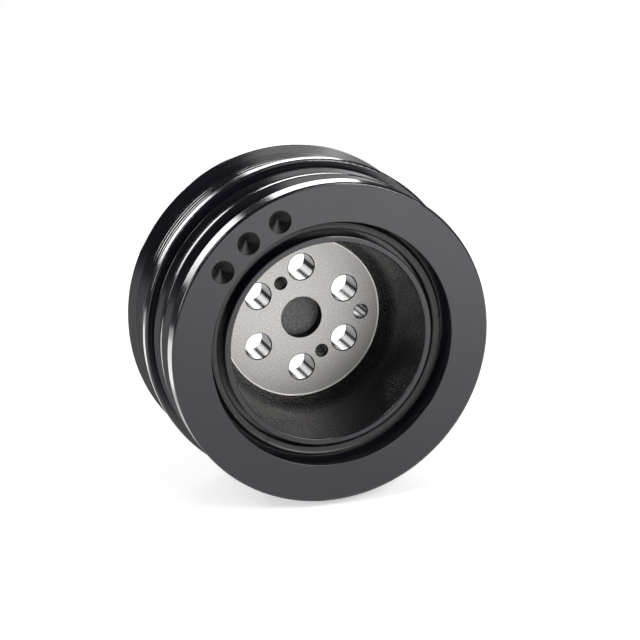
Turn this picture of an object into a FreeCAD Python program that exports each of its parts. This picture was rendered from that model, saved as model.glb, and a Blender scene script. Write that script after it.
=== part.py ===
"""Crankshaft belt pulley with a rubber torsional damper and a rubber-isolated multi-rib ring.

Every piece is a body of revolution about the Y axis.  In the sketches x is the radius and y the
depth behind the pulley's front face; each body is then placed so that the origin lies on the axis,
in the rear face of the mounting flange, where the crankshaft seats.  The front face looks to -Y,
+Z is up and the first bolt hole stands at twelve o'clock.  Lengths are millimetres.
"""
import FreeCAD, Part
import os
import Sketcher
from FreeCAD import Vector

DRIVING = {
    # front ring: front land, V-belt groove, middle land with a tapered rear half, relief groove
    "front_rim_radius": 89.6,
    "belt_land_radius": 88.8,
    "ring_bore_radius": 68.2,
    "ring_depth": 41.5,
    "rim_round": 1.3,
    "front_land_round": 1.2,
    "land_round": 0.7,
    "thin_land_round": 0.5,
    "bore_round": 0.4,
    "front_land_rear": 10.1,
    "belt_half_angle": 18.0,
    "belt_floor_radius": 76.5,
    "middle_land_front": 24.8,
    "middle_crest_rear": 27.2,
    "middle_land_rear": 32.0,
    "middle_taper_radius": 88.3,
    "relief_floor_radius": 81.0,
    "rear_land_front": 40.35,
    # balance drillings in the front face
    "drill_radius": 6.25,
    "drill_circle": 76.8,
    "drill_depth": 1.0,
    "drill_point_angle": 118.0,
    "drill_count": 3,
    "drill_step": 15.0,
    "drill_first": 142.8,
    # rear ring
    "flange_radius": 93.0,
    "flange_front": 43.9,
    "flange_rear": 49.9,
    "flange_round": 1.2,
    "flange_foot": 1.5,
    "rib_radius": 88.6,
    "rib_pitch": 3.56,
    "rib_count": 8,
    "rib_height": 3.0,
    "rib_half_angle": 20.0,
    "rib_valley_flat": 0.5,
    "last_valley": 79.3,
    "last_crest": 0.6,
    "rear_flange_radius": 93.1,
    "rear_flange_land": 1.0,
    "pulley_depth": 84.0,
    "rib_bore_radius": 80.0,
    "rib_bore_bevel": 3.0,
    "web_front": 46.5,
    "web_rear": 57.5,
    "lip_radius": 69.0,
    # hub: deep cup with a mounting flange for its floor
    "cup_rim_depth": 6.8,
    "cup_rim_outer": 59.0,
    "cup_rim_inner": 55.5,
    "nose_depth": 16.0,
    "barrel_radius": 61.4,
    "journal_radius": 66.0,
    "shoulder_depth": 45.2,
    "drum_rear": 83.2,
    "drum_inner": 59.0,
    "drum_draft": 1.0,
    "cup_wall_radius": 51.0,
    "cup_round": 12.0,
    "cup_round_height": 9.0,
    "floor_radius": 46.1,
    "floor_depth": 55.4,
    "floor_lip": 0.6,
    "lip_bevel_width": 1.2,
    "lip_bevel_height": 2.2,
    "flange_web": 8.0,
    "seat_depth": 73.4,
    "seat_radius": 46.0,
    "seat_draft": 2.0,
    "pilot_radius": 18.0,
    "pilot_depth": 4.0,
    "eye_radius": 12.1,
    "eye_depth": 7.0,
    # mounting holes
    "bolt_radius": 7.5,
    "bolt_circle": 29.3,
    "bolt_count": 6,
    "bolt_chamfer": 0.5,
    "dowel_radius": 4.0,
    "dowel_circle": 35.3,
    "jack_radius": 3.4,
    "jack_circle": 24.1,
    "jack_count": 2,
    # rubber and the small rings between hub and rims
    "rubber_front": 10.3,
    "rubber_rear": 39.5,
    "bond_gap": 0.05,
    "run_gap": 0.05,
    "thrust_radius": 74.0,
    "thrust_front": 42.9,
    "washer_gap": 0.1,
    "washer_play": 0.3,
    "bush_front": 47.0,
    "sleeve_front": 58.5,
    "sleeve_rear": 79.5,
    "sleeve_wall": 2.0,
    "sleeve_overlap": 1.0,
    "cover_front": 80.6,
    "cover_thickness": 1.8,
    "cover_radius": 77.5,
    # how far a cutting outline reaches past the surface that it cuts
    "cut_margin": 1.0,
}
FULL_TURN = 360.0
SMALLEST_CUT = 1.0
LENGTH_TOLERANCE = 1e-3
ZERO_TOLERANCE = 1e-6

doc = FreeCAD.newDocument("BeltPulley")
sheet = doc.addObject("Spreadsheet::Sheet", "Size")
for row, (alias, number) in enumerate(DRIVING.items(), start=1):
    sheet.set(f"A{row}", alias)
    sheet.set(f"B{row}", str(number))
    sheet.setAlias(f"B{row}", alias)
doc.recompute()

PIECES = []


def value(expression):
    """The number that an expression over the sheet gives."""
    return float(sheet.evalExpression(expression))


def new_body(label):
    """An empty body that stands with the crankshaft seat in the XZ plane."""
    body = doc.addObject("PartDesign::Body", label)
    body.Label = label
    body.setExpression("Placement.Base.y", "-Size.seat_depth")
    PIECES.append(body)
    return body


def origin_feature(body, role):
    """One of the body's own origin planes or axes."""
    return next(item for item in body.Origin.OriginFeatures if item.Role == role)


def pin_point(sketch, geometry, expressions):
    """Hold the start point of a line at (radius, depth), both given as expressions."""
    for kind, axis, expression in (("DistanceX", -2, expressions[0]), ("DistanceY", -1, expressions[1])):
        if expression == "0":
            sketch.addConstraint(Sketcher.Constraint("PointOnObject", geometry, 1, axis))
            continue
        index = sketch.addConstraint(Sketcher.Constraint(kind, -1, 1, geometry, 1, value(expression)))
        sketch.setExpression(f"Constraints[{index}]", expression)


def section(body, name, outline):
    """A closed outline of straight lines in the half plane of radius and depth."""
    sketch = body.newObject("Sketcher::SketchObject", name)
    sketch.AttachmentSupport = [(origin_feature(body, "XY_Plane"), "")]
    sketch.MapMode = "FlatFace"
    corners = [Vector(value(radius), value(depth), 0) for radius, depth in outline]
    count = len(corners)
    for start, end in zip(corners, corners[1:] + corners[:1]):
        sketch.addGeometry(Part.LineSegment(start, end))
    for index in range(count):
        sketch.addConstraint(Sketcher.Constraint("Coincident", index, 2, (index + 1) % count, 1))
    for index, expressions in enumerate(outline):
        pin_point(sketch, index, expressions)
    return sketch


def turned(body, name, outline):
    """Turn an outline about the pulley's axis into a solid."""
    turn = body.newObject("PartDesign::Revolution", name)
    turn.Profile = section(body, name + "Outline", outline)
    turn.ReferenceAxis = (origin_feature(body, "Y_Axis"), [""])
    turn.Angle = FULL_TURN
    body.Tip = turn
    doc.recompute()
    return turn


def turned_ring(label, inner, outer, front, rear):
    """A piece with a plain rectangular section."""
    body = new_body(label)
    turned(body, label + "Turn", [(inner, front), (outer, front), (outer, rear), (inner, rear)])
    return body


def must_cut(body, feature, volume):
    """Take the feature as the body's tip and make sure that it removed material."""
    body.Tip = feature
    doc.recompute()
    if body.Shape.Volume > volume - SMALLEST_CUT:
        raise RuntimeError(f"{feature.Name} cuts nothing")


def groove(body, name, outline):
    """Cut an outline's ring of revolution out of the body."""
    volume = body.Shape.Volume
    cut = body.newObject("PartDesign::Groove", name)
    cut.Profile = section(body, name + "Outline", outline)
    cut.ReferenceAxis = (origin_feature(body, "Y_Axis"), [""])
    cut.Angle = FULL_TURN
    must_cut(body, cut, volume)
    return cut


def repeat_along(body, name, feature, pitch, count):
    """Repeat a feature along the axis."""
    volume = body.Shape.Volume
    pattern = body.newObject("PartDesign::LinearPattern", name)
    pattern.Originals = [feature]
    pattern.Direction = (origin_feature(body, "Y_Axis"), [""])
    pattern.setExpression("Length", f"({count} - 1) * {pitch}")
    pattern.setExpression("Occurrences", count)
    must_cut(body, pattern, volume)


def repeat_around(body, name, feature, count, angle):
    """Repeat a feature around the axis."""
    volume = body.Shape.Volume
    pattern = body.newObject("PartDesign::PolarPattern", name)
    pattern.Originals = [feature]
    pattern.Axis = (origin_feature(body, "Y_Axis"), [""])
    pattern.setExpression("Angle", angle)
    pattern.setExpression("Occurrences", count)
    must_cut(body, pattern, volume)


def circles(body, places):
    """Names of the circular edges with the given radius and depth about an axis along Y."""
    seat = value("Size.seat_depth")
    wanted = [(value(radius), value(depth) - seat) for radius, depth in places]
    names = []
    for index, edge in enumerate(body.Shape.Edges, start=1):
        if not isinstance(edge.Curve, Part.Circle):
            continue
        size = edge.Curve.Radius
        depth = edge.Curve.Center.y
        misses = [max(abs(size - r), abs(depth - d)) for r, d in wanted]
        if min(misses) < LENGTH_TOLERANCE:
            names.append(f"Edge{index}")
    if not names:
        raise RuntimeError(f"no edge at {places}")
    return names


def dress(body, kind, name, places, size):
    """Round ("Fillet") or bevel ("Chamfer") circular edges."""
    base = body.Tip
    edges = circles(body, places)
    feature = body.newObject("PartDesign::" + kind, name)
    feature.Base = (base, edges)
    feature.setExpression("Radius" if kind == "Fillet" else "Size", size)
    body.Tip = feature
    doc.recompute()
    return feature


def hole_sketch(body, name, circle, angle, radius, depth):
    """A circle on a plane square to the axis, at a clock angle measured from +X towards +Z."""
    sketch = body.newObject("Sketcher::SketchObject", name)
    sketch.AttachmentSupport = [(origin_feature(body, "XZ_Plane"), "")]
    sketch.MapMode = "FlatFace"
    sketch.setExpression("AttachmentOffset.Base.z", f"-({depth})")
    across = f"({circle}) * cos({angle})"
    upward = f"({circle}) * sin({angle})"
    centre = Vector(value(across), value(upward), 0)
    sketch.addGeometry(Part.Circle(centre, Vector(0, 0, 1), value(radius)))
    index = sketch.addConstraint(Sketcher.Constraint("Radius", 0, value(radius)))
    sketch.setExpression(f"Constraints[{index}]", radius)
    for kind, axis, expression in (("DistanceX", -2, across), ("DistanceY", -1, upward)):
        if abs(value(expression)) < ZERO_TOLERANCE:
            sketch.addConstraint(Sketcher.Constraint("PointOnObject", 0, 3, axis))
            continue
        index = sketch.addConstraint(Sketcher.Constraint(kind, -1, 1, 0, 3, value(expression)))
        sketch.setExpression(f"Constraints[{index}]", expression)
    return sketch


def through_hole(body, name, circle, angle, radius):
    """A hole along the axis from the machined floor through the mounting flange."""
    volume = body.Shape.Volume
    pocket = body.newObject("PartDesign::Pocket", name)
    pocket.Profile = hole_sketch(body, name + "Circle", circle, angle, radius, "Size.floor_depth")
    pocket.Type = "ThroughAll"
    must_cut(body, pocket, volume)
    return pocket


def make_hub():
    """Cast hub: deep cup, mounting flange as its floor, outside journal for the rear ring."""
    body = new_body("hub")
    cup_fillet_top = "Size.floor_depth - Size.cup_round_height"
    lip_bevel_top = "Size.floor_depth - Size.floor_lip - Size.lip_bevel_height"
    turned(body, "HubTurn", [
        ("0", "Size.floor_depth + Size.eye_depth"),
        ("Size.eye_radius", "Size.floor_depth + Size.eye_depth"),
        ("Size.eye_radius", "Size.floor_depth"),
        ("Size.floor_radius", "Size.floor_depth"),
        ("Size.floor_radius", "Size.floor_depth - Size.floor_lip"),
        ("Size.floor_radius + Size.lip_bevel_width", lip_bevel_top),
        ("Size.cup_wall_radius", cup_fillet_top),
        ("Size.cup_rim_inner", "Size.cup_rim_depth"),
        ("Size.cup_rim_outer", "Size.cup_rim_depth"),
        ("Size.cup_rim_outer", "Size.nose_depth"),
        ("Size.barrel_radius", "Size.nose_depth"),
        ("Size.barrel_radius", "Size.shoulder_depth"),
        ("Size.journal_radius", "Size.shoulder_depth"),
        ("Size.journal_radius", "Size.drum_rear"),
        ("Size.drum_inner", "Size.drum_rear"),
        ("Size.drum_inner - Size.drum_draft", "Size.floor_depth + Size.flange_web"),
        ("Size.seat_radius + Size.seat_draft", "Size.floor_depth + Size.flange_web"),
        ("Size.seat_radius", "Size.seat_depth"),
        ("Size.pilot_radius", "Size.seat_depth"),
        ("Size.pilot_radius", "Size.seat_depth - Size.pilot_depth"),
        ("0", "Size.seat_depth - Size.pilot_depth"),
    ])
    dress(body, "Fillet", "CupRound", [("Size.cup_wall_radius", cup_fillet_top)], "Size.cup_round")
    dress(body, "Fillet", "RimRound", [
        ("Size.cup_rim_inner", "Size.cup_rim_depth"),
        ("Size.cup_rim_outer", "Size.cup_rim_depth"),
    ], "Size.land_round")
    bolt = through_hole(body, "BoltHole", "Size.bolt_circle", "90 deg", "Size.bolt_radius")
    repeat_around(body, "BoltHoles", bolt, "Size.bolt_count", "360 deg")
    through_hole(body, "DowelHole", "Size.dowel_circle", "0 deg", "Size.dowel_radius")
    jack = through_hole(body, "JackHole", "Size.jack_circle", "120 deg", "Size.jack_radius")
    repeat_around(body, "JackHoles", jack, "Size.jack_count", "360 deg")
    dress(body, "Chamfer", "HoleBevels", [
        ("Size.bolt_radius", "Size.floor_depth"),
        ("Size.dowel_radius", "Size.floor_depth"),
        ("Size.jack_radius", "Size.floor_depth"),
    ], "Size.bolt_chamfer")
    return body


def make_damper_ring():
    """Inertia ring: front land, V-belt groove, middle land, relief groove, thin rear land."""
    body = new_body("damper_ring")
    land = "Size.belt_land_radius"
    turned(body, "RingTurn", [
        ("Size.ring_bore_radius", "0"),
        ("Size.front_rim_radius", "0"),
        ("Size.front_rim_radius", "Size.middle_land_front - Size.cut_margin"),
        (land, "Size.middle_land_front - Size.cut_margin"),
        (land, "Size.middle_crest_rear"),
        ("Size.middle_taper_radius", "Size.middle_land_rear"),
        (land, "Size.middle_land_rear + Size.cut_margin"),
        (land, "Size.ring_depth"),
        ("Size.ring_bore_radius", "Size.ring_depth"),
    ])
    slope = "tan(Size.belt_half_angle)"
    top = "(Size.front_rim_radius + Size.cut_margin)"
    floor = "Size.belt_floor_radius"
    groove(body, "BeltGroove", [
        (floor, f"Size.front_land_rear + (Size.front_rim_radius - {floor}) * {slope}"),
        (top, f"Size.front_land_rear - Size.cut_margin * {slope}"),
        (top, f"Size.middle_land_front + ({top} - {land}) * {slope}"),
        (floor, f"Size.middle_land_front - ({land} - {floor}) * {slope}"),
    ])
    floor = "Size.relief_floor_radius"
    taper = "Size.middle_taper_radius"
    groove(body, "ReliefGroove", [
        (floor, f"Size.middle_land_rear + ({taper} - {floor}) * {slope}"),
        (taper, "Size.middle_land_rear"),
        (top, "Size.middle_land_rear"),
        (top, f"Size.rear_land_front + ({top} - {land}) * {slope}"),
        (floor, f"Size.rear_land_front - ({land} - {floor}) * {slope}"),
    ])
    dress(body, "Fillet", "FaceRound", [("Size.front_rim_radius", "0")], "Size.rim_round")
    front_edge = ("Size.front_rim_radius", "Size.front_land_rear")
    dress(body, "Fillet", "FrontLandRound", [front_edge], "Size.front_land_round")
    dress(body, "Fillet", "BoreRound", [("Size.ring_bore_radius", "0")], "Size.bore_round")
    dress(body, "Fillet", "MiddleLandRounds", [
        (land, "Size.middle_land_front"),
        (taper, "Size.middle_land_rear"),
    ], "Size.land_round")
    dress(body, "Fillet", "RearLandRound", [(land, "Size.rear_land_front")], "Size.thin_land_round")
    volume = body.Shape.Volume
    spot = hole_sketch(body, "BalanceCircle", "Size.drill_circle", "Size.drill_first * 1 deg",
                       "Size.drill_radius", "0")
    doc.recompute()
    drilling = body.newObject("PartDesign::Hole", "BalanceDrilling")
    drilling.Profile = spot
    drilling.DepthType = "Dimension"
    drilling.DrillPoint = "Angled"
    drilling.setExpression("DrillPointAngle", "Size.drill_point_angle")
    drilling.DrillForDepth = False
    drilling.setExpression("Diameter", "2 * Size.drill_radius")
    drilling.setExpression("Depth", "Size.drill_depth")
    must_cut(body, drilling, volume)
    spread = "(Size.drill_count - 1) * Size.drill_step * 1 deg"
    repeat_around(body, "BalanceDrillings", drilling, "Size.drill_count", spread)
    return body


def make_rib_ring():
    """Rear ring: flange, eight V ribs, rear flange, and a web with a lip for its bearing."""
    body = new_body("rib_ring")
    rib_rear = "Size.last_valley + Size.rib_pitch / 2 + Size.last_crest"
    turned(body, "RibTurn", [
        ("Size.lip_radius", "Size.web_front"),
        ("Size.rib_bore_radius - Size.rib_bore_bevel", "Size.web_front"),
        ("Size.rib_bore_radius", "Size.flange_front"),
        ("Size.flange_radius", "Size.flange_front"),
        ("Size.flange_radius", "Size.flange_rear"),
        ("Size.rib_radius", "Size.flange_rear + Size.flange_foot"),
        ("Size.rib_radius", rib_rear),
        ("Size.rear_flange_radius", "Size.pulley_depth - Size.rear_flange_land"),
        ("Size.rear_flange_radius", "Size.pulley_depth"),
        ("Size.rib_bore_radius", "Size.pulley_depth"),
        ("Size.rib_bore_radius", "Size.web_rear"),
        ("Size.lip_radius", "Size.web_rear"),
    ])
    slope = "tan(Size.rib_half_angle)"
    half_floor = "Size.rib_valley_flat / 2"
    half_top = f"({half_floor} + (Size.rib_height + Size.cut_margin) * {slope})"
    valley = "(Size.last_valley - (Size.rib_count - 1) * Size.rib_pitch)"
    first = groove(body, "RibValley", [
        ("Size.rib_radius - Size.rib_height", f"{valley} - {half_floor}"),
        ("Size.rib_radius + Size.cut_margin", f"{valley} - {half_top}"),
        ("Size.rib_radius + Size.cut_margin", f"{valley} + {half_top}"),
        ("Size.rib_radius - Size.rib_height", f"{valley} + {half_floor}"),
    ])
    repeat_along(body, "RibValleys", first, "Size.rib_pitch", "Size.rib_count")
    dress(body, "Fillet", "FlangeRounds", [
        ("Size.flange_radius", "Size.flange_front"),
        ("Size.flange_radius", "Size.flange_rear"),
    ], "Size.flange_round")
    return body


def make_small_rings():
    """Rubber, sleeves, bush, washer and cover between the hub and the two outer rings."""
    bond = "Size.bond_gap"
    run = "Size.run_gap"
    inner_sleeve = "Size.journal_radius + Size.sleeve_wall"
    outer_sleeve = "Size.rib_bore_radius - Size.sleeve_wall"
    rubber_end = "Size.sleeve_rear - Size.sleeve_overlap"
    rings = {
        "damper_rubber": ("Size.barrel_radius", f"Size.ring_bore_radius - {bond}",
                          "Size.rubber_front", "Size.rubber_rear"),
        "front_thrust_ring": ("Size.barrel_radius", "Size.thrust_radius",
                              "Size.thrust_front", "Size.shoulder_depth"),
        "thrust_washer": ("Size.journal_radius + Size.washer_play", "Size.thrust_radius",
                          "Size.shoulder_depth + Size.washer_gap", "Size.web_front"),
        "bearing_bush": (f"Size.journal_radius + {run}", "Size.lip_radius",
                         "Size.bush_front", "Size.web_rear"),
        "coupling_inner_sleeve": ("Size.journal_radius", inner_sleeve,
                                  "Size.sleeve_front", "Size.sleeve_rear"),
        "coupling_rubber": (inner_sleeve, f"{outer_sleeve} - {bond}",
                            "Size.sleeve_front + Size.sleeve_overlap", rubber_end),
        "coupling_outer_sleeve": (outer_sleeve, "Size.rib_bore_radius",
                                  "Size.sleeve_front", "Size.sleeve_rear"),
        "rear_cover": ("Size.journal_radius", "Size.cover_radius",
                       "Size.cover_front", "Size.cover_front + Size.cover_thickness"),
    }
    for label, outline in rings.items():
        turned_ring(label, *outline)


def check_document():
    """Stop if any object failed or any piece is not one valid solid."""
    for item in doc.Objects:
        if "Invalid" in item.State or "Error" in item.State:
            raise RuntimeError(f"{item.Name} failed: {item.State}")
    for body in PIECES:
        shape = body.Shape
        if shape.isNull() or not shape.isValid() or len(shape.Solids) != 1:
            raise RuntimeError(f"{body.Label} is not one valid solid")


make_hub()
make_damper_ring()
make_rib_ring()
make_small_rings()
doc.recompute()
check_document()

os.makedirs("parts", exist_ok=True)
for piece in PIECES:
    piece.Shape.exportStep(f"parts/{piece.Label}.step")
    box = piece.Shape.BoundBox
    print(f"{piece.Label}: {piece.Shape.Volume / 1000:.1f} cm3, depth {box.YMin:.2f} to {box.YMax:.2f}")
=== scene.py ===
"""Look of a crankshaft belt pulley: materials, rubber, threads, studio and camera.

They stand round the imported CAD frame.  The pulley's axis is Y, its front face looks to -Y
and +Z is up.  Lengths are metres.
"""
import math
import random

import bpy
from mathutils import Matrix, Vector


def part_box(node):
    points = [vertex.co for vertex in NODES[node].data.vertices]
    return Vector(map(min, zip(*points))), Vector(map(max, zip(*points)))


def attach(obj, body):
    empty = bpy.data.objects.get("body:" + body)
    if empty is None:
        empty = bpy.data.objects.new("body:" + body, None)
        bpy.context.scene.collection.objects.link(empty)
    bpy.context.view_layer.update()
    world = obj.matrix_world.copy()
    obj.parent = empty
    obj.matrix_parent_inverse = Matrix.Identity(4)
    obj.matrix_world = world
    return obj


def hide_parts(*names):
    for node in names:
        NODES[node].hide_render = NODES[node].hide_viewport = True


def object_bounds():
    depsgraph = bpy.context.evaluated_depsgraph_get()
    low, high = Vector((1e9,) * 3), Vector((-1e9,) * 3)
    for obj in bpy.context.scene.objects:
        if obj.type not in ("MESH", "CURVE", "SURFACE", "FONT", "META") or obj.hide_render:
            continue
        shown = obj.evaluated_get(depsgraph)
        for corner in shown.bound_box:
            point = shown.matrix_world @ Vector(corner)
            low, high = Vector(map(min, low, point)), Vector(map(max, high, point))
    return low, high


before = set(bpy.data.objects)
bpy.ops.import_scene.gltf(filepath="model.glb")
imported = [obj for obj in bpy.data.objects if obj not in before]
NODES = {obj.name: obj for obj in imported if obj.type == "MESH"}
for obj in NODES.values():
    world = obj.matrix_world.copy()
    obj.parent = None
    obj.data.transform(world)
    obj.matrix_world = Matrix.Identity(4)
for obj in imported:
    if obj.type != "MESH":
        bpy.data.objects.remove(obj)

CAD_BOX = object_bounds()
TAU = 2.0 * math.pi


# ---------------------------------------------------------------- shader helpers
class Graph:
    """A few short names for building one material's node tree."""

    def __init__(self, tree):
        self.tree = tree
        self.made = {}

    def node(self, kind, **props):
        made = self.tree.nodes.new(kind)
        for name, setting in props.items():
            setattr(made, name, setting)
        return made

    def link(self, source, target):
        """Wire an output to an input, or set a plain value on it."""
        if isinstance(source, bpy.types.NodeSocket):
            self.tree.links.new(source, target)
        else:
            target.default_value = source

    def math(self, operation, a, b=0.0):
        made = self.node("ShaderNodeMath", operation=operation)
        for index, source in enumerate((a, b)):
            self.link(source, made.inputs[index])
        return made.outputs[0]

    def add(self, a, b):
        return self.math("ADD", a, b)

    def mul(self, a, b):
        return self.math("MULTIPLY", a, b)

    def step(self, source, low, high, to_low=0.0, to_high=1.0):
        """Smooth step of a value from low to high."""
        made = self.node("ShaderNodeMapRange", interpolation_type="SMOOTHSTEP")
        for index, item in enumerate((source, low, high, to_low, to_high)):
            self.link(item, made.inputs[index])
        return made.outputs[0]

    def place(self):
        """Object coordinates as (vector, x, y, z, radius about Y, angle about Y)."""
        if "place" not in self.made:
            where = self.node("ShaderNodeTexCoord").outputs["Object"]
            split = self.node("ShaderNodeSeparateXYZ")
            self.link(where, split.inputs[0])
            x, y, z = split.outputs
            radius = self.math("SQRT", self.add(self.mul(x, x), self.mul(z, z)))
            angle = self.math("ARCTAN2", z, x)
            self.made["place"] = (where, x, y, z, radius, angle)
        return self.made["place"]

    def vector(self, x, y, z):
        made = self.node("ShaderNodeCombineXYZ")
        for index, source in enumerate((x, y, z)):
            self.link(source, made.inputs[index])
        return made.outputs[0]

    def noise(self, vector, scale, detail=2.0, roughness=0.5):
        made = self.node("ShaderNodeTexNoise")
        self.link(vector, made.inputs["Vector"])
        made.inputs["Scale"].default_value = scale
        made.inputs["Detail"].default_value = detail
        made.inputs["Roughness"].default_value = roughness
        return made.outputs[0]

    def cells(self, vector, scale, smooth):
        """Distance to the middle of rounded cells."""
        made = self.node("ShaderNodeTexVoronoi", feature="SMOOTH_F1")
        self.link(vector, made.inputs["Vector"])
        made.inputs["Scale"].default_value = scale
        made.inputs["Smoothness"].default_value = smooth
        return made.outputs["Distance"]

    def mix(self, share, a, b):
        """Colour a at share 0, colour b at share 1."""
        made = self.node("ShaderNodeMix", data_type="RGBA")
        self.link(share, made.inputs[0])
        self.link((*a, 1.0) if isinstance(a, tuple) else a, made.inputs[6])
        self.link((*b, 1.0) if isinstance(b, tuple) else b, made.inputs[7])
        return made.outputs[2]

    def bump(self, height, distance, normal=None):
        made = self.node("ShaderNodeBump")
        made.inputs["Strength"].default_value = 1.0
        made.inputs["Distance"].default_value = distance
        self.link(height, made.inputs["Height"])
        if normal is not None:
            self.link(normal, made.inputs["Normal"])
        return made.outputs[0]

    def turning(self, scale):
        """Lathe marks: noise that is the same all the way round the axis."""
        _, _, y, _, radius, angle = self.place()
        drift = self.mul(self.math("SINE", angle), 0.00004)
        return self.noise(self.vector(self.add(radius, drift), y, 0.0), scale, 3.0, 0.6)


def material(name, build, **constants):
    """A Principled material; build(graph, shader inputs) wires what varies over the surface."""
    made = bpy.data.materials.new(name)
    made.use_nodes = True
    tree = made.node_tree
    tree.nodes.clear()
    graph = Graph(tree)
    shader = graph.node("ShaderNodeBsdfPrincipled")
    output = graph.node("ShaderNodeOutputMaterial")
    tree.links.new(shader.outputs[0], output.inputs[0])
    for socket, setting in constants.items():
        shader.inputs[socket.replace("_", " ")].default_value = setting
    build(graph, shader.inputs)
    return made


# ---------------------------------------------------------------- materials
SMOOTH_WALL_Y, ROUGH_WALL_Y = -0.036, -0.021
FLOOR_RIM_IN, FLOOR_RIM_OUT = 0.0453, 0.0457


def gloss_paint(dark, light, rough, marks, peel=0.00001):
    """Thin black paint over turned metal: faint lathe marks, a little orange peel, uneven gloss."""
    def build(graph, shader):
        where = graph.place()[0]
        cloud = graph.noise(where, 38.0, 4.0, 0.6)
        graph.link(graph.mix(cloud, dark, light), shader["Base Color"])
        speck = graph.noise(where, 900.0, 2.0, 0.5)
        uneven = graph.add(graph.mul(cloud, 0.10), graph.mul(speck, 0.05))
        graph.link(graph.add(uneven, rough - 0.075), shader["Roughness"])
        lines = graph.bump(graph.turning(2600.0), marks)
        graph.link(graph.bump(graph.noise(where, 700.0, 2.0), peel, lines), shader["Normal"])
    return build


def cast_paint(graph, shader):
    """Sand-cast iron under black paint: pebbles about a millimetre wide, strongest near the cup's floor;
    its colour is a darker black than the rest of the hub's paint, painted shade inside the cup.
    """
    where, _, y, _, _, _ = graph.place()
    pebbles = graph.cells(where, 820.0, 0.30)
    lumps = graph.noise(where, 640.0, 3.0, 0.55)
    fine = graph.noise(where, 1900.0, 2.0, 0.5)
    grit = graph.add(graph.mul(lumps, 0.8), graph.mul(fine, 0.15))
    height = graph.add(graph.mul(pebbles, -1.0), grit)
    rough_end = graph.step(y, SMOOTH_WALL_Y, ROUGH_WALL_Y, 0.22, 1.0)
    graph.link(graph.bump(graph.mul(height, rough_end), 0.00060), shader["Normal"])
    # painted shade: a darker black than the hub's other paint, for the inside of the cup
    graph.link(graph.mix(lumps, (0.002, 0.002, 0.0022), (0.004, 0.004, 0.0045)), shader["Base Color"])
    graph.link(graph.step(fine, 0.3, 0.7, 0.16, 0.24), shader["Roughness"])


def bare_floor(graph, shader):
    """The cup's machined floor: light warm grey, fine grained, with a painted highlight along its rim."""
    where, _, _, _, radius, _ = graph.place()
    grain = graph.step(graph.noise(where, 1500.0, 3.0, 0.7), 0.32, 0.68)
    blotch = graph.noise(where, 60.0, 4.0, 0.6)
    colour = graph.mix(grain, (0.36, 0.345, 0.325), (0.80, 0.785, 0.76))
    colour = graph.mix(graph.mul(blotch, 0.30), colour, (0.46, 0.44, 0.42))
    # painted highlight: a near-white band of colour along the floor's rim
    rim = graph.mul(graph.step(radius, FLOOR_RIM_IN, FLOOR_RIM_OUT), 0.8)
    colour = graph.mix(rim, colour, (0.97, 0.95, 0.91))
    graph.link(colour, shader["Base Color"])
    graph.link(graph.step(grain, 0.25, 0.75, 0.40, 0.56), shader["Roughness"])
    height = graph.add(graph.mul(grain, 0.7), graph.mul(graph.turning(1500.0), 0.6))
    graph.link(graph.bump(height, 0.00003), shader["Normal"])


def bored_wall(graph, shader):
    """Drilled wall under gloss black paint, with fine feed marks round the hole."""
    where, _, y, _, _, _ = graph.place()
    feed = graph.noise(graph.vector(0.0, y, 0.0), 2400.0, 2.0)
    grain = graph.noise(where, 1500.0, 2.0)
    graph.link(graph.mix(grain, (0.010, 0.010, 0.011), (0.018, 0.018, 0.019)), shader["Base Color"])
    graph.link(graph.step(feed, 0.3, 0.7, 0.20, 0.28), shader["Roughness"])
    graph.link(graph.bump(feed, 0.000006), shader["Normal"])


def cast_eye(graph, shader):
    """Unmachined bottom of the centre recess: dark grey, sandy."""
    where = graph.place()[0]
    grit = graph.step(graph.noise(where, 1350.0, 3.0, 0.65), 0.28, 0.72)
    graph.link(graph.mix(grit, (0.055, 0.055, 0.055), (0.30, 0.298, 0.292)), shader["Base Color"])
    graph.link(graph.step(grit, 0.3, 0.7, 0.45, 0.62), shader["Roughness"])
    graph.link(graph.bump(grit, 0.00020), shader["Normal"])


def dark_edge(graph, shader):
    """Bevelled edge of a hole, almost black: painted shade, darker and duller than the paint on the hole's
    wall.
    """
    where = graph.place()[0]
    grit = graph.noise(where, 1500.0, 2.0)
    graph.link(graph.mix(grit, (0.004, 0.004, 0.004), (0.010, 0.010, 0.010)), shader["Base Color"])
    graph.link(graph.step(grit, 0.3, 0.7, 0.30, 0.45), shader["Roughness"])
    graph.link(graph.bump(grit, 0.00002), shader["Normal"])


def turned_steel(graph, shader):
    """Bare turned steel at the rear of the hub."""
    where = graph.place()[0]
    marks = graph.turning(1800.0)
    stain = graph.noise(where, 45.0, 4.0, 0.6)
    graph.link(graph.mix(stain, (0.34, 0.335, 0.325), (0.52, 0.51, 0.49)), shader["Base Color"])
    graph.link(graph.step(marks, 0.3, 0.7, 0.28, 0.42), shader["Roughness"])
    graph.link(graph.bump(marks, 0.00003), shader["Normal"])


def rubber_skin(graph, shader):
    """Moulded black rubber with faint flow lines and dust."""
    where = graph.place()[0]
    mottle = graph.noise(where, 160.0, 4.0, 0.6)
    grain = graph.noise(where, 2600.0, 2.0)
    graph.link(graph.mix(mottle, (0.018, 0.018, 0.019), (0.034, 0.034, 0.036)), shader["Base Color"])
    graph.link(graph.step(mottle, 0.3, 0.7, 0.30, 0.48), shader["Roughness"])
    height = graph.add(graph.mul(grain, 0.3), graph.noise(where, 420.0, 3.0))
    graph.link(graph.bump(height, 0.00005), shader["Normal"])


def phosphate(graph, shader):
    """Phosphated steel sleeve: mid grey crystals."""
    where = graph.place()[0]
    grain = graph.noise(where, 1800.0, 3.0, 0.7)
    graph.link(graph.mix(grain, (0.10, 0.10, 0.10), (0.20, 0.20, 0.195)), shader["Base Color"])
    graph.link(graph.step(grain, 0.3, 0.7, 0.42, 0.60), shader["Roughness"])
    graph.link(graph.bump(grain, 0.00003), shader["Normal"])


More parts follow.
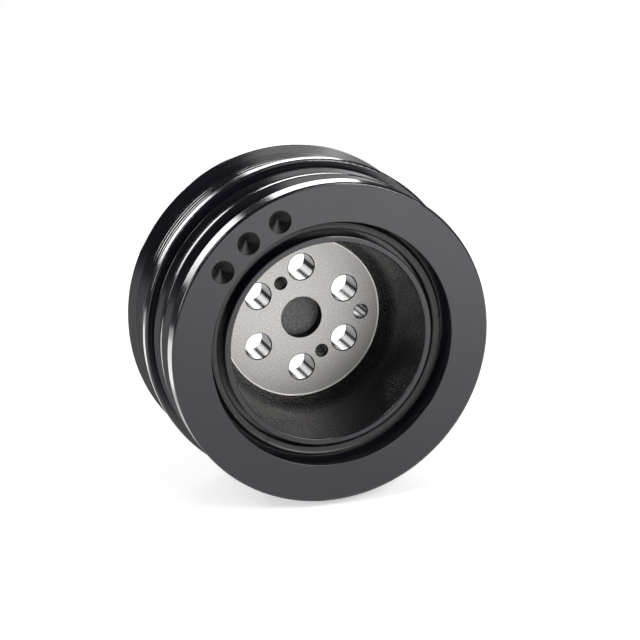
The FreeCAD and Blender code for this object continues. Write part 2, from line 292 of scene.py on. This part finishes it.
def polymer(graph, shader):
    """Filled brown bearing polymer."""
    where = graph.place()[0]
    grain = graph.noise(where, 900.0, 3.0, 0.6)
    graph.link(graph.mix(grain, (0.20, 0.13, 0.07), (0.30, 0.20, 0.11)), shader["Base Color"])
    graph.link(graph.step(grain, 0.3, 0.7, 0.38, 0.52), shader["Roughness"])
    graph.link(graph.bump(grain, 0.00002), shader["Normal"])


BLACK = ((0.0055, 0.0055, 0.0100), (0.0080, 0.0080, 0.0130))
SHADED_BLACK = ((0.002, 0.002, 0.0024), (0.004, 0.004, 0.0044))
PAINT = material("gloss_black_paint", gloss_paint(*BLACK, 0.16, 0.000006), Specular_IOR_Level=0.6)
HUB_PAINT = material("hub_black_paint", gloss_paint(*BLACK, 0.20, 0.000008), Specular_IOR_Level=0.6)
# painted shade: the balance drillings get a darker, less glossy copy of the front ring's black paint
DRILL_PAINT = material("drilling_black_paint", gloss_paint(*SHADED_BLACK, 0.33, 0.000004),
                       Specular_IOR_Level=0.19)
COVER_PAINT = material("cover_black_paint", gloss_paint(*BLACK, 0.30, 0.000004, 0.00002))
CAST = material("cast_black_paint", cast_paint, Specular_IOR_Level=0.23)
FLOOR = material("machined_floor", bare_floor, Metallic=0.85)
BORE = material("bored_wall", bored_wall, Specular_IOR_Level=0.6)
# painted shade: the small holes get a less reflective copy of the bored wall's paint
SHADED_SMALL_BORE = material("small_bore", bored_wall, Specular_IOR_Level=0.25)
EYE = material("cast_eye", cast_eye)
# painted shade: near-black on the hole bevels and on the wall of the centre recess
SHADED_EDGE = material("hole_edge", dark_edge, Specular_IOR_Level=0.12)
STEEL = material("turned_steel", turned_steel, Metallic=1.0)
RUBBER = material("rubber", rubber_skin)
SLEEVE = material("phosphated_steel", phosphate, Metallic=0.7)
BUSH = material("bush_polymer", polymer)


def dress(node, *choices):
    """Give a CAD node its materials. choices: (material, test) pairs, and the first test that holds wins.

    A test takes the radius and y of a face's centre, its normal's parts away from and along the axis,
    and the centre itself.
    """
    mesh = NODES[node].data
    mesh.materials.clear()
    for made, _ in choices:
        mesh.materials.append(made)
    for face in mesh.polygons:
        centre = face.center
        radius = math.hypot(centre.x, centre.z)
        outward = (face.normal.x * centre.x + face.normal.z * centre.z) / max(radius, 1e-9)
        for index, (_, test) in enumerate(choices):
            if test(radius, centre.y, outward, face.normal.y, centre):
                face.material_index = index
                break


def always(*_):
    return True


FLOOR_Y = -0.0180
FLOOR_R = 0.0461
EYE_R = 0.0121
EYE_Y = -0.0080                 # everything of the centre recess lies in front of this
CUP_R = 0.0553                  # everything inside the cup's rim lies within this
REAR_SEAT_R, REAR_SEAT_Y = 0.0465, -0.0045
SLACK = 0.0001
JACK_CIRCLE, JACK_R = 0.0241, 0.0034
JACK_ANGLES = {"upper": 120.0, "lower": 300.0}
SMALL_HOLE_MM = 5.0
# circle and hole radius in millimetres, angle in degrees
HOLES = (
    [(29.3, 90.0 + 60.0 * k, 7.5) for k in range(6)]
    + [(35.3, 0.0, 4.0), (24.1, 120.0, 3.4), (24.1, 300.0, 3.4)]
)
DRILL_CIRCLE, DRILL_R = 0.0768, 0.00627
DRILL_ANGLES = (142.8, 127.8, 112.8)
DRILL_FRONT, DRILL_REAR = -0.07335, -0.0660


def hole_at(centre, grow=0.0):
    """The hole whose wall passes through this point, or None."""
    for circle, angle, radius in HOLES:
        x = circle * math.cos(math.radians(angle)) / 1000.0
        z = circle * math.sin(math.radians(angle)) / 1000.0
        gap = math.hypot(centre.x - x, centre.z - z) - radius / 1000.0
        if -0.0003 < gap < SLACK + grow:
            return circle, angle, radius
    return None


def is_wall(radius, y, outward, along, centre):
    return abs(along) < 0.2 and FLOOR_Y < y < SLACK and hole_at(centre) is not None


def is_bevel(radius, y, outward, along, centre):
    if not FLOOR_Y - SLACK < y < FLOOR_Y + 0.0007:
        return False
    return 0.3 < abs(along) < 0.95 and hole_at(centre, 0.0006)


def is_eye_wall(radius, y, outward, along, centre):
    return abs(along) < 0.2 and radius < EYE_R + 0.00005 and FLOOR_Y - SLACK < y < EYE_Y


def is_small_bore(radius, y, outward, along, centre):
    hole = is_wall(radius, y, outward, along, centre) and hole_at(centre)
    return bool(hole) and hole[2] < SMALL_HOLE_MM


def is_floor(radius, y, outward, along, centre):
    return radius < FLOOR_R + 0.00002 and y < FLOOR_Y + SLACK and EYE_R - SLACK < radius


def is_eye(radius, y, outward, along, centre):
    return radius < EYE_R + 0.00005 and y < EYE_Y


def is_cast(radius, y, outward, along, centre):
    return radius < CUP_R and y < FLOOR_Y and outward < 0.2


def is_rear_seat(radius, y, outward, along, centre):
    return radius < REAR_SEAT_R and y > REAR_SEAT_Y


def is_drilling(radius, y, outward, along, centre):
    if y > DRILL_REAR or y < DRILL_FRONT:
        return False
    for angle in DRILL_ANGLES:
        x = DRILL_CIRCLE * math.cos(math.radians(angle))
        z = DRILL_CIRCLE * math.sin(math.radians(angle))
        if math.hypot(centre.x - x, centre.z - z) < DRILL_R:
            return True
    return False


dress("hub", (SHADED_SMALL_BORE, is_small_bore), (BORE, is_wall), (SHADED_EDGE, is_bevel), (SHADED_EDGE, is_eye_wall),
      (EYE, is_eye), (FLOOR, is_floor), (CAST, is_cast), (STEEL, is_rear_seat), (HUB_PAINT, always))
dress("damper_ring", (DRILL_PAINT, is_drilling), (PAINT, always))
dress("rib_ring", (PAINT, always))
dress("front_thrust_ring", (SLEEVE, always))
dress("coupling_inner_sleeve", (SLEEVE, always))
dress("coupling_outer_sleeve", (SLEEVE, always))
dress("bearing_bush", (BUSH, always))
dress("thrust_washer", (BUSH, always))
dress("rear_cover", (COVER_PAINT, always))


# ---------------------------------------------------------------- pieces in mesh code
def link_mesh(name, points, faces, skin, body):
    mesh = bpy.data.meshes.new(name)
    mesh.from_pydata(points, [], faces)
    mesh.update()
    mesh.materials.append(skin)
    for face in mesh.polygons:
        face.use_smooth = True
    piece = bpy.data.objects.new(name, mesh)
    bpy.context.scene.collection.objects.link(piece)
    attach(piece, body)
    return piece


def lathe(name, profile, turns, skin, body, wobble=None):
    """A closed ring from a closed profile of (radius, y) points.

    wobble(angle, index, radius, y) may move them.
    """
    count = len(profile)
    points = []
    for step in range(turns):
        angle = TAU * step / turns
        for index, (radius, y) in enumerate(profile):
            r, depth = wobble(angle, index, radius, y) if wobble else (radius, y)
            points.append((r * math.cos(angle), depth, r * math.sin(angle)))
    faces = []
    for step in range(turns):
        here, there = step * count, (step + 1) % turns * count
        for index in range(count):
            after = (index + 1) % count
            faces.append((here + index, here + after, there + after, there + index))
    return link_mesh(name, points, faces, skin, body)


def smooth_noise(seed, waves):
    """A periodic random curve of the angle, from a few sine waves."""
    draw = random.Random(seed)
    terms = [(n, draw.uniform(0.4, 1.0) / (1.0 + 0.15 * n), draw.uniform(0.0, TAU)) for n in waves]
    return lambda angle: sum(size * math.sin(n * angle + phase) for n, size, phase in terms) / 2.0


def bump_at(angle, centre, width):
    """1 at the centre angle, falling to 0 a width away."""
    away = abs((angle - centre + math.pi) % TAU - math.pi) / width
    return 0.5 + 0.5 * math.cos(math.pi * away) if away < 1.0 else 0.0


# the rubber ring between hub and front ring: a raised bead on its front, set back outside the bead
low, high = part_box("damper_rubber")
INNER, OUTER = 0.0614, high.x
FRONT, REAR = low.y, high.y
BEAD = 0.0650
SECTION = [
    (INNER, FRONT + 0.0014), (INNER + 0.0002, FRONT + 0.0010), (INNER + 0.0006, FRONT + 0.0007),
    (INNER + 0.0014, FRONT + 0.0006), (INNER + 0.0022, FRONT + 0.00055), (INNER + 0.0029, FRONT + 0.0004),
    (BEAD - 0.0003, FRONT + 0.0001), (BEAD, FRONT), (BEAD + 0.0003, FRONT + 0.0001),
    (BEAD + 0.0006, FRONT + 0.0006), (BEAD + 0.0010, FRONT + 0.0022), (BEAD + 0.0016, FRONT + 0.0038),
    (OUTER - 0.0006, FRONT + 0.0042), (OUTER - 0.0002, FRONT + 0.0040), (OUTER, FRONT + 0.0038),
    (OUTER, REAR - 0.0006), (OUTER - 0.0004, REAR - 0.0010), (OUTER - 0.0016, REAR - 0.0020),
    ((INNER + OUTER) / 2, REAR - 0.0024), (INNER + 0.0016, REAR - 0.0020),
    (INNER + 0.0004, REAR - 0.0010), (INNER, REAR - 0.0006),
]
edge_wave = smooth_noise(7, (3, 5, 8, 13, 21, 34))
flow_wave = smooth_noise(11, (2, 4, 7, 11, 17, 29))
NICKS = [math.radians(deg) for deg in (7.0, 59.0, 76.0, 162.0, 215.0, 237.0)]
NICK_WIDTH = math.radians(1.6)


def rubber_wobble(angle, index, radius, y):
    nick = sum(bump_at(angle, centre, NICK_WIDTH) for centre in NICKS)
    if 1 <= index <= 4:
        y += 0.00010 * edge_wave(angle) + 0.00008
        radius += 0.00012 * flow_wave(angle + 1.0) if index > 1 else 0.0
    if 5 <= index <= 9:
        radius += 0.00015 * flow_wave(angle)
        y += 0.00010 * abs(edge_wave(angle + 2.0)) + 0.00045 * nick
    if 10 <= index <= 12:
        y += 0.00010 * flow_wave(angle + 4.0)
    return radius, max(y, FRONT)


rubber = lathe("damper_rubber_ring", SECTION, 720, RUBBER, "hub", rubber_wobble)
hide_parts("damper_rubber")

# the coupling rubber behind: both ends sink between the sleeves
low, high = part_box("coupling_rubber")
C_IN, C_OUT = 0.0680, high.x
C_FRONT, C_REAR = low.y, high.y
MIDDLE = (C_IN + C_OUT) / 2
SINK = [
    (C_IN, C_FRONT + 0.0001), (C_IN + 0.0009, C_FRONT + 0.0010), (C_IN + 0.0025, C_FRONT + 0.0022),
    (MIDDLE, C_FRONT + 0.0028), (C_OUT - 0.0025, C_FRONT + 0.0022), (C_OUT - 0.0009, C_FRONT + 0.0010),
    (C_OUT, C_FRONT + 0.0001), (C_OUT, C_REAR - 0.0001), (C_OUT - 0.0009, C_REAR - 0.0010),
    (C_OUT - 0.0025, C_REAR - 0.0022), (MIDDLE, C_REAR - 0.0028), (C_IN + 0.0025, C_REAR - 0.0022),
    (C_IN + 0.0009, C_REAR - 0.0010), (C_IN, C_REAR - 0.0001),
]
coupling = lathe("coupling_rubber_ring", SINK, 240, RUBBER, "hub")
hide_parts("coupling_rubber")


PITCH, THREAD_DEPTH = 0.00125, 0.00045
THREAD_FRONT, THREAD_REAR = FLOOR_Y + 0.0009, -0.0006
THREAD_SIDES = 40
FADE_SIDES = 12.0


def thread(name, circle, angle, minor):
    """An internal thread as a thin helical ridge lying on a hole's wall."""
    cx = circle * math.cos(math.radians(angle))
    cz = circle * math.sin(math.radians(angle))
    turns = (THREAD_REAR - THREAD_FRONT) / PITCH
    total = int(turns * THREAD_SIDES)
    shape = [
        (0.00002, -0.42 * PITCH), (-THREAD_DEPTH, -0.06 * PITCH),
        (-THREAD_DEPTH, 0.06 * PITCH), (0.00002, 0.42 * PITCH),
    ]
    points, faces = [], []
    for step in range(total + 1):
        turn = TAU * step / THREAD_SIDES
        fade = min(1.0, step / FADE_SIDES, (total - step) / FADE_SIDES)
        y = THREAD_FRONT + PITCH * step / THREAD_SIDES
        for out, along in shape:
            radius = minor + (out if out > 0 else out * fade)
            points.append((cx + radius * math.cos(turn), y + along, cz + radius * math.sin(turn)))
    for step in range(total):
        here, there = step * 4, (step + 1) * 4
        for index in range(4):
            after = (index + 1) % 4
            faces.append((here + index, there + index, there + after, here + after))
    faces.append((0, 1, 2, 3))
    faces.append(tuple(total * 4 + i for i in (3, 2, 1, 0)))
    link_mesh(name, points, faces, THREAD, "hub")


def thread_steel(graph, shader):
    """Tapped steel, dark grey."""
    where = graph.place()[0]
    grain = graph.noise(where, 1500.0, 2.0)
    graph.link(graph.mix(grain, (0.10, 0.10, 0.098), (0.20, 0.198, 0.19)), shader["Base Color"])
    graph.link(graph.step(grain, 0.3, 0.7, 0.25, 0.38), shader["Roughness"])
    graph.link(graph.bump(grain, 0.00001), shader["Normal"])


THREAD = material("tapped_steel", thread_steel, Metallic=0.9)
for place, angle in JACK_ANGLES.items():
    thread("jack_thread_" + place, JACK_CIRCLE, angle, JACK_R)


# ---------------------------------------------------------------- studio
def pale_floor(graph, shader):
    """White floor that glows a little, more towards the front right: painted light that brightens the floor
    and its shadows.
    """
    where, x, y, _, _, _ = graph.place()
    cloud = graph.noise(where, 3.0, 2.0)
    graph.link(graph.mix(cloud, (0.86, 0.86, 0.86), (0.88, 0.88, 0.88)), shader["Base Color"])
    # painted light: the floor's own glow, rising towards the front right
    reach = graph.add(graph.mul(x, 0.80), graph.mul(y, -0.60))
    rise = graph.step(reach, 0.02, 0.80, FLOOR_GLOW, FLOOR_GLOW + GLOW_RISE)
    glow = graph.add(rise, graph.mul(cloud, 0.02))
    graph.link(glow, shader["Emission Strength"])


def stage_plane(name, centre, across, upward, skin):
    """A flat stage piece given by its centre and two half edges."""
    centre, across, upward = Vector(centre), Vector(across), Vector(upward)
    corners = [centre - across - upward, centre + across - upward,
               centre + across + upward, centre - across + upward]
    mesh = bpy.data.meshes.new(name)
    mesh.from_pydata([tuple(corner) for corner in corners], [], [(0, 1, 2, 3)])
    mesh.materials.append(skin)
    piece = bpy.data.objects.new(name, mesh)
    bpy.context.scene.collection.objects.link(piece)


GROUND = CAD_BOX[0].z
FLOOR_GLOW = 0.48
GLOW_RISE = 0.92
FLOOR_SKIN = material("studio_floor", pale_floor, Roughness=0.9, Specular_IOR_Level=0.1,
                      Emission_Color=(1.0, 1.0, 1.0, 1.0))
stage_plane("studio_floor", (0.0, -0.38, GROUND), (0.9, 0.0, 0.0), (0.0, 0.86, 0.0), FLOOR_SKIN)


def panel(name, place, facing, width, height, radiance):
    """A soft rectangular light at a place, shining along the facing direction."""
    lamp = bpy.data.lights.new(name, "AREA")
    lamp.shape = "RECTANGLE"
    lamp.size, lamp.size_y = width, height
    lamp.energy = radiance * math.pi * width * height
    made = bpy.data.objects.new(name, lamp)
    bpy.context.scene.collection.objects.link(made)
    made.location = place
    made.rotation_mode = "QUATERNION"
    made.rotation_quaternion = Vector(facing).to_track_quat("-Z", "Y")
    made.visible_camera = False


AIM = Vector((0.0, -0.03, 0.0))


def softbox(name, direction, distance, width, height, radiance):
    """A panel that looks at the pulley from the given direction."""
    way = Vector(direction).normalized()
    panel(name, AIM + way * distance, -way, width, height, radiance)


def toward(azimuth, elevation):
    """Unit vector; azimuth from +Y towards +X, in degrees."""
    a, e = math.radians(azimuth), math.radians(elevation)
    return math.sin(a) * math.cos(e), math.cos(a) * math.cos(e), math.sin(e)


# name, direction, distance, width, height, radiance
SOFTBOXES = (
    ("front_right_wide", toward(147.0, 27.0), 1.3, 1.06, 0.80, 2.8),
    ("front_right_core", toward(136.0, 32.0), 1.29, 0.62, 0.60, 5.3),
    ("overhead", (0.31, -0.29, 0.90), 1.2, 0.28, 0.28, 6.0),
    ("rear_left", toward(-17.5, 14.0), 1.5, 0.37, 0.60, 7.0),
    ("rear_right", toward(13.5, 19.0), 1.5, 0.56, 0.62, 6.5),
    ("side_left", toward(-82.0, 16.0), 1.4, 1.70, 0.50, 4.0),
    ("high_left", toward(-117.0, 38.0), 1.3, 0.34, 0.34, 11.0),
)
for softbox_facts in SOFTBOXES:
    softbox(*softbox_facts)
panel("floor_strip", (-0.185, 0.215, GROUND + 0.002), (0.0, 0.0, 1.0), 0.15, 0.24, 1.6)

world = bpy.data.worlds.new("studio_world")
bpy.context.scene.world = world
world.use_nodes = True
world.node_tree.nodes.clear()
sky = Graph(world.node_tree)
back = sky.node("ShaderNodeBackground")
ray = sky.node("ShaderNodeLightPath").outputs["Is Camera Ray"]
sky.link(sky.mix(ray, (0.06, 0.06, 0.062), (1.0, 1.0, 1.0)), back.inputs[0])
sky.tree.links.new(back.outputs[0], sky.node("ShaderNodeOutputWorld").inputs[0])

# ---------------------------------------------------------------- camera
RIGHT = Vector((0.946277, -0.323356, -0.000685))
UP = Vector((0.095734, 0.278135, 0.955759))
BACK = RIGHT.cross(UP)
PLACE = Vector((-0.33733, -1.03812, 0.32894))
camera_data = bpy.data.cameras.new("camera")
camera_data.sensor_width = 36.0
camera_data.lens = 112.5
camera = bpy.data.objects.new("camera", camera_data)
bpy.context.scene.collection.objects.link(camera)
camera.matrix_world = Matrix((
    (RIGHT.x, UP.x, BACK.x, PLACE.x),
    (RIGHT.y, UP.y, BACK.y, PLACE.y),
    (RIGHT.z, UP.z, BACK.z, PLACE.z),
    (0.0, 0.0, 0.0, 1.0),
))
bpy.context.scene.camera = camera
bpy.context.scene.view_settings.view_transform = "Standard"
